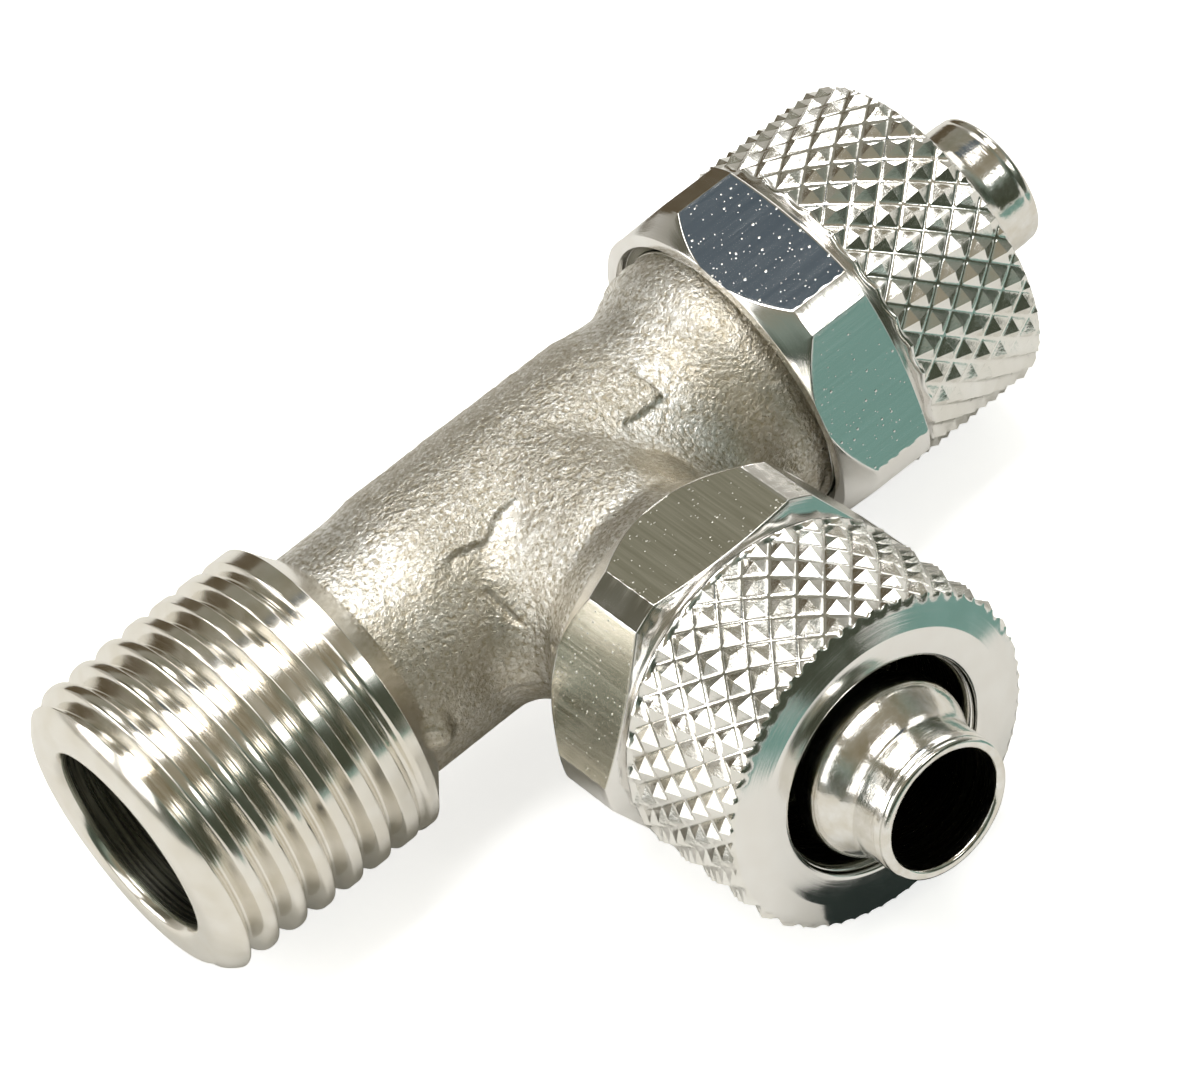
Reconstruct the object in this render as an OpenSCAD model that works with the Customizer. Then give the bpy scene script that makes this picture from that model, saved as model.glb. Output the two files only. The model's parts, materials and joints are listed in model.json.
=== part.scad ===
// Push-on tube fitting for compressed air: a male run tee with two union nuts.
// Millimetres. The run lies along X from the inlet thread to the run nut.
// The branch points along -Y, and +Z is normal to the plane of the tee.
// The origin is the centre of the inlet thread's end face.

/* [Inlet thread] */
// Major diameter of the taper thread at its gauge plane
gauge_d = 13.157; // [12.8:0.001:13.4]
// Distance from the end face to the gauge plane
gauge_x = 6; // [5:0.1:7]
// Pitch of the taper thread, 19 turns to the inch
inlet_pitch = 1.337; // [1.3:0.001:1.36]
// Depth of the taper thread
inlet_depth = 0.72; // [0.6:0.01:0.85]
// Diameter of the turned blank, which cuts the last crests short
blank_d = 13.24; // [13.2:0.01:13.4]
// Diameter of the flat ring on the end face
end_face_d = 11.4; // [11:0.1:12]
// Diameter of the inlet bore
inlet_bore_d = 8.2; // [7.5:0.1:8.6]
// Depth of the inlet bore
inlet_bore_depth = 12; // [10:0.5:13]

/* [Body] */
// Distance from the end face to the branch axis
branch_x = 20.8; // [20:0.1:23]
// Diameter of the forged barrels
barrel_d = 10.2; // [9.8:0.1:10.6]
// Distance from the branch axis to the end of each barrel
barrel_reach = 7; // [6.5:0.1:7.2]
// Height of the raised pad on top of the run
pad_rise = 0.25; // [0.1:0.05:0.4]

/* [Union thread] */
// Nominal diameter of the thread under each nut
union_d = 12; // [11.8:0.1:12.1]
// Pitch of the thread under each nut
union_pitch = 0.75; // [0.7:0.05:0.8]

/* [Nut] */
// Distance across the flats
nut_af = 13.8; // [13.4:0.1:14]
// Diameter of the turned-down corners
nut_corner_d = 15.3; // [14.8:0.1:15.6]
// Diameter over the knurl
knurl_d = 14.26; // [14:0.01:14.4]
// Distance from the tee's crossing to the nut's back face
nut_back = 9.4; // [9.2:0.1:9.6]
// Length of the nut
nut_len = 10.9; // [10.5:0.1:11.2]
// Diameter of the hole that the tube goes through
nut_hole_d = 8.7; // [8.5:0.1:9]

/* [Spigot] */
// Distance from the tee's crossing to each spigot's tip
spigot_reach = 23.7; // [23:0.1:24.5]
// Diameter of the spigot's plain tip
spigot_d = 5.9; // [5.7:0.1:6]
// Diameter of the bulge that the tube is pushed over
bulge_d = 7.2; // [6.6:0.1:7.4]
// Diameter of the bore through each spigot
spigot_bore_d = 5; // [4.6:0.1:5.2]

/* [Hidden] */
$fn = 96;

nickel = [0.78, 0.76, 0.7];
plated = [0.84, 0.83, 0.8];
blast = [0.7, 0.68, 0.62];

// Pad: half the width of its two bands, and their reach from the crossing.
pad_half = 2.6;
pad_reach = 5.3;

// Taper thread: ridges one pitch apart, growing with the 1:16 taper.
// The end chamfer takes a little off the first ridge's crest.
inlet_ridges = 6;
first_ridge_x = 1.5 * inlet_pitch;
first_ridge_cut = 0.04;
inlet_crest_half = 0.22;
inlet_root_half = inlet_crest_half + inlet_depth * tan(27.5);
runout_end_x = 9.9;
neck_x = 11.1;
end_chamfer_x = 0.8;
bore_chamfer = 0.15;

// Union thread: male and female ridges interleave with a small gap all round.
flank_gap = 0.05;
radial_gap = 0.06;
sharp_r = union_d / 2 + union_pitch * tan(60) / 16;
male_crest_r = union_d / 2 - 0.05;
male_root_r = male_crest_r - 0.6 * union_pitch;
female_crest_r = male_root_r + radial_gap;
female_root_r = male_crest_r + radial_gap;
male_ridges = 7;
first_male_ridge = 8.25;
female_ridges = 5;
first_female_ridge = first_male_ridge + 2.5 * union_pitch;
boss_end = first_male_ridge + (male_ridges - 0.2) * union_pitch;
flare_len = 0.7;

// Nut: stations are measured from its back face.
mouth_r = 6.4;
back_ring_r = 6.94;
back_cone_slope = 0.634;
hex_end = 4.3;
corner_end = 3.9;
groove_r = 6.4;
knurl_start = 4.38;
knurl_bevel = 0.3;
face_ring_r = 5.75;
front_cone_slope = 1 / 3;
thread_relief = 0.7;
thread_bore_end = first_female_ridge - nut_back + (female_ridges - 0.5) * union_pitch + thread_relief;
mouth_taper = 0.12;
hole_chamfer = 0.18;
nut_front = nut_back + nut_len;

// Spigot: stations are measured back from the tip.
tip_round = 0.25;
tip_plain = 1.7;
bulge_from_tip = 3.6;
spigot_root_d = 5.8;

// Radius of the taper thread's crest at a distance from the end face.
function crest_r(x) = min(gauge_d / 2 + (x - gauge_x) / 32, blank_d / 2);

// Half the thickness of a 60 degree ridge at a radius, before the flank gap.
function male_half(r) = (sharp_r - r) * tan(30);
function female_half(r) = union_pitch / 2 - male_half(r) - flank_gap;

// Points of one ridge, as [radius, station] pairs in order of station.
function ridge(z, root_r, tip_r, root_half, tip_half) = [
    [root_r, z - root_half],
    [tip_r, z - tip_half],
    [tip_r, z + tip_half],
    [root_r, z + root_half]
];

function inlet_ridge(x, cut) = ridge(
    x, crest_r(x) - inlet_depth, crest_r(x) - cut, inlet_root_half, inlet_crest_half);

function male_ridge(z) = ridge(
    z, male_root_r, male_crest_r, male_half(male_root_r), male_half(male_crest_r));

function female_ridge(z) = ridge(
    z, female_root_r, female_crest_r, female_half(female_root_r), female_half(female_crest_r));

function joined(lists) = [for (list = lists) each list];

module on_run() {
    rotate([0, 90, 0]) children();
}

// Places a shape drawn along +Z on the run outlet, measured from the crossing.
module on_run_outlet() {
    translate([branch_x, 0, 0]) on_run() children();
}

// Places a shape drawn along +Z on the branch outlet, measured from the crossing.
module on_branch_outlet() {
    translate([branch_x, 0, 0]) rotate([90, 0, 0]) children();
}

// The threaded inlet, from its end face to the neck.
module inlet() {
    ridges = joined([for (i = [0:inlet_ridges - 1])
        inlet_ridge(first_ridge_x + i * inlet_pitch, i == 0 ? first_ridge_cut : 0)]);
    runout_start_x = first_ridge_x + inlet_ridges * inlet_pitch - inlet_root_half;
    runout_r = crest_r(runout_end_x) - 0.25;
    rotate_extrude() polygon(concat(
        [[0, 0], [end_face_d / 2, 0], [crest_r(end_chamfer_x) - 0.08, end_chamfer_x]],
        ridges,
        [
            [runout_r - 0.3, runout_start_x],
            [runout_r, runout_start_x + 0.4],
            [runout_r, runout_end_x],
            [barrel_d / 2 - 0.15, neck_x],
            [barrel_d / 2, neck_x + 0.6],
            [0, neck_x + 0.6]
        ]
    ));
}

// One outlet: the threaded boss and the spigot, from inside the barrel outwards.
module outlet() {
    tip = spigot_reach;
    bulge = tip - bulge_from_tip;
    ridges = joined([for (i = [0:male_ridges - 1]) male_ridge(first_male_ridge + i * union_pitch)]);
    rotate_extrude() polygon(concat(
        [
            [0, 0],
            [barrel_d / 2, 0],
            [barrel_d / 2, barrel_reach],
            [male_crest_r, barrel_reach + flare_len],
            [male_root_r, barrel_reach + flare_len + 0.1]
        ],
        ridges,
        [
            [male_root_r - 0.5, boss_end],
            [spigot_root_d / 2, boss_end],
            [spigot_root_d / 2, bulge - 1.6],
            [bulge_d / 2, bulge - 0.2],
            [bulge_d / 2, bulge + 0.2],
            [spigot_d / 2, tip - tip_plain],
            [spigot_d / 2, tip - tip_round],
            [spigot_d / 2 - tip_round, tip],
            [0, tip]
        ]
    ));
}

// Cuts the inlet bore, its mouth chamfer and its drill-point floor.
module inlet_bore() {
    r = inlet_bore_d / 2;
    floor_r = spigot_bore_d / 2;
    rotate_extrude() polygon([
        [0, -1],
        [r + bore_chamfer + 1, -1],
        [r, bore_chamfer],
        [r, inlet_bore_depth],
        [floor_r, inlet_bore_depth + (r - floor_r) * tan(31)],
        [0, inlet_bore_depth + (r - floor_r) * tan(31)]
    ]);
}

// The raised T-shaped pad that the forging die leaves on top of the tee.
module pad() {
    pad_d = barrel_d + 2 * pad_rise;
    intersection() {
        on_run() cylinder(d = pad_d, h = branch_x + pad_reach);
        translate([branch_x - pad_reach - 1, -pad_half, 0])
            cube([2 * pad_reach + 1, 2 * pad_half, pad_d]);
    }
    intersection() {
        on_branch_outlet() cylinder(d = pad_d, h = pad_reach);
        translate([branch_x - pad_half, -pad_reach, 0])
            cube([2 * pad_half, pad_reach, pad_d]);
    }
}

module tee_body() {
    color(blast) difference() {
        union() {
            on_run() inlet();
            on_run() translate([0, 0, neck_x]) cylinder(d = barrel_d, h = branch_x - neck_x);
            on_run_outlet() outlet();
            on_branch_outlet() outlet();
            pad();
        }
        on_run() inlet_bore();
        on_run() cylinder(d = spigot_bore_d, h = branch_x + spigot_reach + 1);
        on_branch_outlet() cylinder(d = spigot_bore_d, h = spigot_reach + 1);
    }
}

// The turned outside of a nut, drawn from its back face.
module nut_turned() {
    corner_r = nut_corner_d / 2;
    knurl_r = knurl_d / 2;
    rotate_extrude() polygon([
        [0, 0],
        [back_ring_r, 0],
        [corner_r, (corner_r - back_ring_r) / back_cone_slope],
        [corner_r, corner_end],
        [groove_r, hex_end],
        [groove_r, knurl_start],
        [knurl_r, knurl_start + knurl_bevel],
        [knurl_r, nut_len - (knurl_r - face_ring_r) * front_cone_slope],
        [face_ring_r, nut_len],
        [0, nut_len]
    ]);
}

// The outline that leaves six flats on the back of the nut and the knurl round.
module nut_outline() {
    cylinder(d = nut_af / cos(30), h = hex_end, $fn = 6);
    translate([0, 0, hex_end - 0.01]) cylinder(d = nut_corner_d + 1, h = nut_len);
}

// Everything that is bored out of a nut, drawn from its back face.
module nut_inside() {
    hole_r = nut_hole_d / 2;
    seat_end = thread_bore_end + female_root_r - hole_r;
    first = first_female_ridge - nut_back;
    entry = first - female_half(female_root_r) - 0.05;
    ridges = joined([for (i = [0:female_ridges - 1]) female_ridge(first + i * union_pitch)]);
    rotate_extrude() polygon(concat(
        [[0, -1], [mouth_r, -1], [mouth_r, entry - mouth_taper], [female_root_r, entry]],
        ridges,
        [
            [female_root_r, thread_bore_end],
            [hole_r, seat_end],
            [hole_r, nut_len - hole_chamfer],
            [hole_r + hole_chamfer, nut_len],
            [hole_r + hole_chamfer, nut_len + 1],
            [0, nut_len + 1]
        ]
    ));
}

// One union nut, turned by the angle that sets its flats.
module union_nut(turn) {
    color(plated) translate([0, 0, nut_back]) rotate([0, 0, turn]) difference() {
        intersection() {
            nut_turned();
            nut_outline();
        }
        nut_inside();
    }
}

module run_nut() {
    run_nut_turn = 44.2;
    on_run_outlet() union_nut(run_nut_turn);
}

module branch_nut() {
    on_branch_outlet() union_nut(0);
}

tee_body();
run_nut();
branch_nut();
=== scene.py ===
"""Looks for a push-on tube fitting: a male run tee with two knurled union nuts.

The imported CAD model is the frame. Each CAD node is replaced by detailed pieces:
a taper-threaded inlet, a sand-blasted forging, two outlets and two nuts.
Shapes are worked out in millimetres and go to Blender in metres.

The run lies along X from the inlet's end face, and the branch along -Y. A turned
piece is made of rows of points, each at a station along its axis. An outlet's and
a nut thread's stations start at the crossing, and a nut's own at its back.
"""
import json
import math

import bpy
import numpy as np
from mathutils import Matrix, Vector


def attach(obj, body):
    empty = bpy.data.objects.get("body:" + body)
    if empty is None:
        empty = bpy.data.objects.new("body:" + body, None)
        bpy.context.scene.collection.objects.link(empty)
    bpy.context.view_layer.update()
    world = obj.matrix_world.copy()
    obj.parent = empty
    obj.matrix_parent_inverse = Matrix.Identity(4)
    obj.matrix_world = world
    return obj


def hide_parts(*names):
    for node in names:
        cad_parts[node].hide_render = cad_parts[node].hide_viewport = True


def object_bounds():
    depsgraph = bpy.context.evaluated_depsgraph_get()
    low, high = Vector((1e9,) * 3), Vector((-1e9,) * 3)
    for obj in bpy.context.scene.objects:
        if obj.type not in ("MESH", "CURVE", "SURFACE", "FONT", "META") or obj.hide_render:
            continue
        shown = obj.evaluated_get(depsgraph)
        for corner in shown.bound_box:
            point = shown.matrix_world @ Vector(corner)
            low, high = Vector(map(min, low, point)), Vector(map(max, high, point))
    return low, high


MM = 0.001

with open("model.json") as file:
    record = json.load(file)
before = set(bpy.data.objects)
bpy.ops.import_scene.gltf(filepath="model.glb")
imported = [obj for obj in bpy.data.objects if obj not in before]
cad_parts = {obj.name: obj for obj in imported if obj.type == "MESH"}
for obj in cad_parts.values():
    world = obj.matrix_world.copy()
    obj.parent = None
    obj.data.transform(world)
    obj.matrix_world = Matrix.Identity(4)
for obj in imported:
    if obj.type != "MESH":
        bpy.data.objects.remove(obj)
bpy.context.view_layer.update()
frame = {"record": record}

# ---------------------------------------------------------------- sizes, in mm
MOUNTS = {m["name"]: m for m in frame["record"]["mounts"]}
BRANCH_X = MOUNTS["branch_spigot"]["pos_m"][0] / MM
INLET_BORE_R = MOUNTS["inlet_bore"]["dims"]["r_mm"]
PASSAGE_R = MOUNTS["branch_outlet_bore"]["dims"]["r_mm"]
GAUGE_R = MOUNTS["male_thread"]["dims"]["r_mm"]
GAUGE_X = 6.0
TAPER = 32
BARREL_R = 5.1
BARREL_REACH = 7.0
NECK_X = 11.1
DRILL_FLOOR_X = 12
DRILL_POINT = math.radians(59)
OFF_CONE = 0.86

INLET_PITCH = 1.337
INLET_FLANK = math.radians(27.5)
INLET_START = 1.10
RUNOUT_X = 9.9

UNION_PITCH = 0.75
MALE_CREST_R = 5.95
MALE_ROOT_R = 5.5
FIRST_MALE = 8.25
MALE_RIDGES = 7

NUT_BACK = 9.4
NUT_LEN = 10.9
NUT_AF = 13.8
CORNER_R = 7.65
KNURL_R = 7.13
NUT_BORE_R = 4.35
FEMALE_ROOT_R = 6.01
FEMALE_CREST_R = 5.56
FIRST_FEMALE = 10.125
FEMALE_RIDGES = 5

SPIGOT_TIP = 23.7
SPIGOT_R = 2.95
STEM_R = 2.9
BULGE_R = 3.6


# ---------------------------------------------------------------- noise
LATTICE_SIZE = 32
LATTICE = np.random.default_rng(11).random((LATTICE_SIZE,) * 3)


def noise(points, size, shift=0.0):
    """Smooth noise from -1 to 1, with lumps about `size` mm across."""
    q = np.asarray(points) / size + shift
    cell = np.floor(q).astype(int)
    t = q - cell
    t = t * t * (3 - 2 * t)
    a = cell % LATTICE_SIZE
    b = (cell + 1) % LATTICE_SIZE
    total = 0.0
    for corner in np.ndindex(2, 2, 2):
        index = [np.where(c, b[..., k], a[..., k]) for k, c in enumerate(corner)]
        weight = np.ones(q.shape[:-1])
        for k, c in enumerate(corner):
            weight = weight * (t[..., k] if c else 1 - t[..., k])
        total = total + weight * LATTICE[index[0], index[1], index[2]]
    return 2 * total - 1


def smooth_step(low, high, value):
    """0 up to low and 1 from high on, with a smooth climb between. With low above
    high it falls instead, from 1 to 0."""
    t = np.clip((value - low) / (high - low), 0, 1)
    return t * t * (3 - 2 * t)


# ---------------------------------------------------------------- mesh helpers
def make_mesh(name, points, faces, materials, slots, marks, marks_name="lathe"):
    """A smooth-shaded object from points in mm. `slots` gives each face's material.
    `marks` is a vector at each point, which materials read as `marks_name`."""
    mesh = bpy.data.meshes.new(name)
    mesh.from_pydata((np.asarray(points) * MM).tolist(), [], [list(f) for f in faces])
    for material in materials:
        mesh.materials.append(material)
    if slots is not None:
        mesh.polygons.foreach_set("material_index", np.asarray(slots, np.int32))
    mesh.polygons.foreach_set("use_smooth", np.ones(len(faces), bool))
    layer = mesh.attributes.new(marks_name, "FLOAT_VECTOR", "POINT")
    layer.data.foreach_set("vector", np.asarray(marks, np.float32).reshape(-1))
    mesh.update()
    obj = bpy.data.objects.new(name, mesh)
    bpy.context.scene.collection.objects.link(obj)
    return obj


def sharpen(mesh, slot, angle):
    """Marks edges sharp where two faces of one material meet at more than angle."""
    mesh.set_sharp_from_angle(angle=angle)
    loop_edge = np.zeros(len(mesh.loops), np.int32)
    mesh.loops.foreach_get("edge_index", loop_edge)
    material, corners = np.zeros((2, len(mesh.polygons)), np.int32)
    mesh.polygons.foreach_get("material_index", material)
    mesh.polygons.foreach_get("loop_total", corners)
    others = loop_edge[np.repeat(material != slot, corners)]
    sharp = np.zeros(len(mesh.edges), bool)
    mesh.edges.foreach_get("use_edge_sharp", sharp)
    inside = np.ones(len(mesh.edges), bool)
    inside[others] = False
    mesh.edges.foreach_set("use_edge_sharp", sharp & inside)
    mesh.update()


def around(columns):
    """The angles of evenly spaced columns."""
    return np.arange(columns) * 2 * math.pi / columns


def on_run(local, start=BRANCH_X):
    """Local (x, y, z) with z along the run's +X, from `start`."""
    return np.stack([local[..., 2] + start, local[..., 0], local[..., 1]], -1)


def on_branch(local):
    """Local (x, y, z) with z along the branch's -Y, from the crossing."""
    return np.stack([local[..., 0] + BRANCH_X, -local[..., 2], local[..., 1]], -1)


def lathe_points(radius, station, angle):
    """Points from radius, station and angle, each an array or one number."""
    radius, station, angle = np.broadcast_arrays(radius, station, angle)
    return np.stack([radius * np.cos(angle), radius * np.sin(angle), station], -1)


def lathe_marks(rows):
    """For rows by columns of local points: cosine, sine and distance along the profile."""
    radius = np.hypot(rows[..., 0], rows[..., 1])
    steps = np.hypot(np.diff(radius[:, 0]), np.diff(rows[:, 0, 2]))
    along = np.concatenate([[0], np.cumsum(steps)])[:, None] + 0 * radius
    return np.stack([rows[..., 0] / radius, rows[..., 1] / radius, along], -1)


def ring_faces(rows, columns, flip=None):
    """Faces of a tube whose last row joins its first, and each face's cell. A cell is
    a quad where flip is 0, and two triangles where it is 1 or 2, split either way."""
    r = np.arange(rows)[:, None]
    c = np.arange(columns)[None, :]
    r2, c2 = (r + 1) % rows, (c + 1) % columns
    a, b = r * columns + c, r * columns + c2
    d, e = r2 * columns + c, r2 * columns + c2
    quads = np.stack([a, b, e, d], -1).reshape(-1, 4)
    if flip is None:
        return quads.tolist(), np.arange(len(quads))
    kind = flip.reshape(-1)
    p, q, t, u = quads.T
    one, two = kind == 1, kind == 2
    whole = np.flatnonzero(kind == 0)
    faces = quads[whole].tolist()
    cells = [whole]
    for picked, halves in ((one, ((p, q, t), (p, t, u))), (two, ((p, q, u), (q, t, u)))):
        for half in halves:
            faces += np.stack(half, -1)[picked].tolist()
            cells.append(np.flatnonzero(picked))
    return faces, np.concatenate(cells)


TINY = 1e-6
# The most of the way to the next corner that a corner's rounding may take.
LONGEST_CUT = 0.3


def turned_piece(name, rows, columns, materials, place):
    """A piece turned from rows of (radius, station, material slot), in order round its
    outline. `place` moves its points into the frame."""
    angle = around(columns)
    points = np.array([lathe_points(radius, station, angle) for radius, station, _ in rows])
    faces, _ = ring_faces(len(rows), columns)
    slots = np.repeat([slot for _, _, slot in rows], columns)
    return make_mesh(name, place(points).reshape(-1, 3), faces, materials, slots,
                     lathe_marks(points))


def rounded(keys, edge, parts):
    """Rows along a profile, and the key that each comes after. keys is (n, columns, 2),
    of radius and station. Each key becomes three rows that round its corner, over `edge`
    mm each way, with parts[i] steps from key i to the next."""
    count = len(keys)
    rows, owner = [], []

    def cut_off(corner, toward):
        """The point on the way from a corner to the next that its rounding starts at."""
        way = toward - corner
        length = np.maximum(np.linalg.norm(way, axis=-1, keepdims=True), TINY)
        return corner + way * np.minimum(edge / length, LONGEST_CUT)

    for i in range(count):
        here, before, after = keys[i], keys[i - 1], keys[(i + 1) % count]
        cut_a, cut_b = cut_off(here, before), cut_off(here, after)
        rows += [cut_a, 0.5 * here + 0.25 * (cut_a + cut_b), cut_b]
        owner += [i - 1, i, i]
        cut_c = cut_off(after, here)
        for k in range(1, parts[i]):
            rows.append(cut_b + (cut_c - cut_b) * k / parts[i])
            owner.append(i)
    return np.array(rows), np.array(owner) % count


# ---------------------------------------------------------------- inlet thread
INLET_COLUMNS = 256
THREAD_ROWS = 340
BORE_ROWS = 60
THREAD_DEPTH = 0.70
CREST_HALF = 0.24
CREST_SAG = 0.03
CREST_BLEND = 0.09
ROOT_BLEND = 0.05
CREST_INSET = 0.02
# The thread fades out from here to RUNOUT_X, and the crests sink by FADE_DROP.
FADE_START = 8.3
FADE_DROP = 0.12
# The round nose in front of the first crest: where it starts, and how it climbs.
NOSE_X = -0.16
NOSE_LEN = 1.3
NOSE_R = 5.38
NOSE_RISE = 1.12
MOUTH_WOBBLE = 0.012
# The rim of the bore's mouth, as radius and distance from the end face.
INLET_MOUTH = (
    (4.12, 0.16), (4.17, 0.02), (4.24, -0.09), (4.31, -0.15), (4.4, -0.19), (4.6, -0.2),
    (5.0, -0.21), (5.16, -0.2), (5.28, -0.18),
)
NOSE_STATIONS = (-0.155, -0.14, -0.11)


def thread_drop(phase):
    """Depth below the crest, from the phase of the helix, 0 at the crest."""
    away = np.abs((phase + 0.5) % 1 - 0.5) * INLET_PITCH
    flank = (away - CREST_HALF) / math.tan(INLET_FLANK)
    soft = 0.5 * (flank + np.sqrt(flank ** 2 + CREST_BLEND ** 2))
    crown = CREST_SAG * np.minimum(away / CREST_HALF, 1) ** 2
    deep = THREAD_DEPTH - soft
    return crown + THREAD_DEPTH - 0.5 * (deep + np.sqrt(deep ** 2 + ROOT_BLEND ** 2))


def inlet_radius(x, angle):
    """Outer radius of the inlet at a distance from its end face."""
    crest = GAUGE_R + (x - GAUGE_X) / TAPER
    fade = 1 - smooth_step(FADE_START, RUNOUT_X, x)
    phase = (x - INLET_START) / INLET_PITCH - angle / (2 * math.pi)
    thread = crest - CREST_INSET - thread_drop(phase) * fade - FADE_DROP * (1 - fade)
    t = np.clip((x - NOSE_X) / NOSE_LEN, 0, 1)
    nose = NOSE_R + NOSE_RISE * (1 - (1 - t) ** 1.8) ** 0.7
    end_cone = 6.45 - (x - RUNOUT_X) * 1.2
    return np.minimum(np.minimum(thread, nose), np.where(x > RUNOUT_X, end_cone, np.inf))


def inlet_thread(materials):
    """The taper-threaded end, from its mouth round the outside and back up the bore."""
    angle = around(INLET_COLUMNS)
    wobble = MOUTH_WOBBLE * np.sin(3 * angle + 1)
    rows = [(radius + wobble, x, 0) for radius, x in INLET_MOUTH]
    thread = np.linspace(-0.08, NECK_X - 0.05, THREAD_ROWS)
    rows += [(inlet_radius(np.full_like(angle, x), angle), x, 0)
             for x in np.concatenate([NOSE_STATIONS, thread])]
    rows += [(4.8, NECK_X + 0.05, 0), (4.6, NECK_X + 0.4, 0), (4.3, NECK_X + 0.5, 0)]
    rows += [(INLET_BORE_R, x, 1) for x in np.linspace(NECK_X + 0.4, 0.24, BORE_ROWS)]
    return turned_piece("inlet_thread", rows, INLET_COLUMNS, materials, lambda p: on_run(p, 0))


# ---------------------------------------------------------------- forging
NET_STEP = 0.09
RELAX_ROUNDS = 6
FORGING_START = 10.5
NET_REACH = 6.3
RUN_SIDE = math.radians(125)
BRANCH_SIDE = math.radians(115)
CROTCH_R = 1.9
BOSS_R = 5.93
BOSS_REACH = 9.75
PAD_RISE = 0.2
PAD_HALF = 2.1
PAD_FROM_X, PAD_TO_X = 14.4, 26.0
PAD_FRONT_Y = -2.75
PAD_FOOT_Y = -6.1
PAD_SOFT, PAD_CRISP = 1.1, 0.11
# Ovals where the pad's edge is a ragged step: x and y of the centre, and half sizes.
PAD_FRONT_STEP = (17.3, -2.9, 2.3, 1.2)
PAD_END_STEP = (25.4, -2.5, 1.5, 1.3)
GROOVE_DEPTH = 0.36
# Noise of the blasted skin: height in mm, size of its lumps in mm, and its own shift.
COARSE, MEDIUM, FINE = (0.011, 0.36, 1.7), (0.012, 0.62, 7.7), (0.010, 0.21, 5.2)
LUMPS = (0.02, 1.5, 9.4)
RUBBED_X, RUBBED_Y = 23.5, -6.0
RUBBED_DEPTH = 0.05
SCRATCH_DEPTH = 0.13
FLASH_HEIGHT = 0.06
FLASH_Z = -0.35
NUB_HEIGHT = 0.34


def passages(p):
    """Distance outside the bores, negative inside them."""
    x, y, z = p[..., 0], p[..., 1], p[..., 2]
    from_run = np.hypot(y, z)
    wide = np.where(x < NECK_X + 0.45, INLET_BORE_R + 0.2, INLET_BORE_R)
    floor = DRILL_FLOOR_X + (INLET_BORE_R - from_run) / math.tan(DRILL_POINT)
    inlet = np.maximum(from_run - wide, (x - floor) * OFF_CONE)
    run = from_run - PASSAGE_R
    branch = np.maximum(np.hypot(x - BRANCH_X, z) - PASSAGE_R, y)
    return np.minimum(np.minimum(inlet, run), branch)


def barrel_r(away):
    """Radius of a barrel at a distance from the crossing: it flares to the boss."""
    flare = smooth_step(BARREL_REACH - 0.5, BARREL_REACH + 1.7, away)
    return BARREL_R + (BOSS_R - BARREL_R) * flare


def forging_field(p):
    """Signed distance, in mm, of the forged tee without its grain."""
    x, y, z = p[..., 0], p[..., 1], p[..., 2]
    from_run = np.hypot(y, z)
    from_branch = np.hypot(x - BRANCH_X, z)
    run = from_run - barrel_r(x - BRANCH_X)
    branch = from_branch - barrel_r(-y)
    aligned = z ** 2 / np.maximum(from_run * from_branch, TINY)
    k = CROTCH_R * np.clip(1 - aligned, 0.02, 1)
    near_run, near_branch = np.maximum(k - run, 0), np.maximum(k - branch, 0)
    union = np.maximum(k, np.minimum(run, branch)) - np.hypot(near_run, near_branch)
    skin = np.where(y < 0.5, union, run)
    ends = np.maximum(np.maximum(FORGING_START - x, x - (BRANCH_X + BOSS_REACH)),
                      -BOSS_REACH - y)
    return np.maximum(np.maximum(skin, ends), -passages(p))


def surface_net(field, low, high, step):
    """Points and quads of the surface where field is zero, relaxed and set on it."""
    axes = [np.arange(a, b + step, step) for a, b in zip(low, high)]
    grid = np.stack(np.meshgrid(*axes, indexing="ij"), -1)
    inside = field(grid) < 0
    nx, ny, nz = (s - 1 for s in inside.shape)
    count = sum(inside[i:nx + i, j:ny + j, k:nz + k].astype(np.int8)
                for i, j, k in np.ndindex(2, 2, 2))
    mixed = (count > 0) & (count < 8)
    index = np.full(mixed.shape, -1)
    index[mixed] = np.arange(mixed.sum())
    points = grid[:-1, :-1, :-1][mixed] + step / 2
    quads = []
    for axis in range(3):
        first = [slice(None)] * 3
        second = [slice(None)] * 3
        first[axis], second[axis] = slice(None, -1), slice(1, None)
        a, b = inside[tuple(first)], inside[tuple(second)]
        u, v = (axis + 1) % 3, (axis + 2) % 3
        where = np.argwhere(a != b)
        keep = (where[:, u] > 0) & (where[:, v] > 0)
        keep &= (where[:, u] < mixed.shape[u]) & (where[:, v] < mixed.shape[v])
        where = where[keep]
        leaving = a[tuple(where.T)]
        du, dv = np.eye(3, dtype=int)[u], np.eye(3, dtype=int)[v]
        ring = [where - du - dv, where - dv, where, where - du]
        quad = np.stack([index[tuple(c.T)] for c in ring], -1)
        quad[~leaving] = quad[~leaving][:, ::-1]
        quads.append(quad)
    quads = np.concatenate(quads)
    edges = np.concatenate([quads[:, [i, (i + 1) % 4]] for i in range(4)])
    edges = np.concatenate([edges, edges[:, ::-1]])
    degree = np.bincount(edges[:, 0], minlength=len(points))[:, None]
    for _ in range(RELAX_ROUNDS):
        mean = np.stack([np.bincount(edges[:, 0], points[edges[:, 1], k], len(points))
                         for k in range(3)], -1) / degree
        points = set_on(field, 0.4 * points + 0.6 * mean)
    return points, quads


def slope(field, points):
    """The field's gradient, from its values a little to each side."""
    reach = 0.01
    steps = np.eye(3) * reach
    return np.stack([field(points + s) - field(points - s) for s in steps], -1) / (2 * reach)


def set_on(field, points):
    """Moves points along the field's slope until they are on its zero level."""
    for _ in range(2):
        g = slope(field, points)
        size = np.maximum((g ** 2).sum(-1), 0.2)
        move = np.clip(field(points) / size, -0.2, 0.2)
        points = points - move[:, None] * g
    return points


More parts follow.
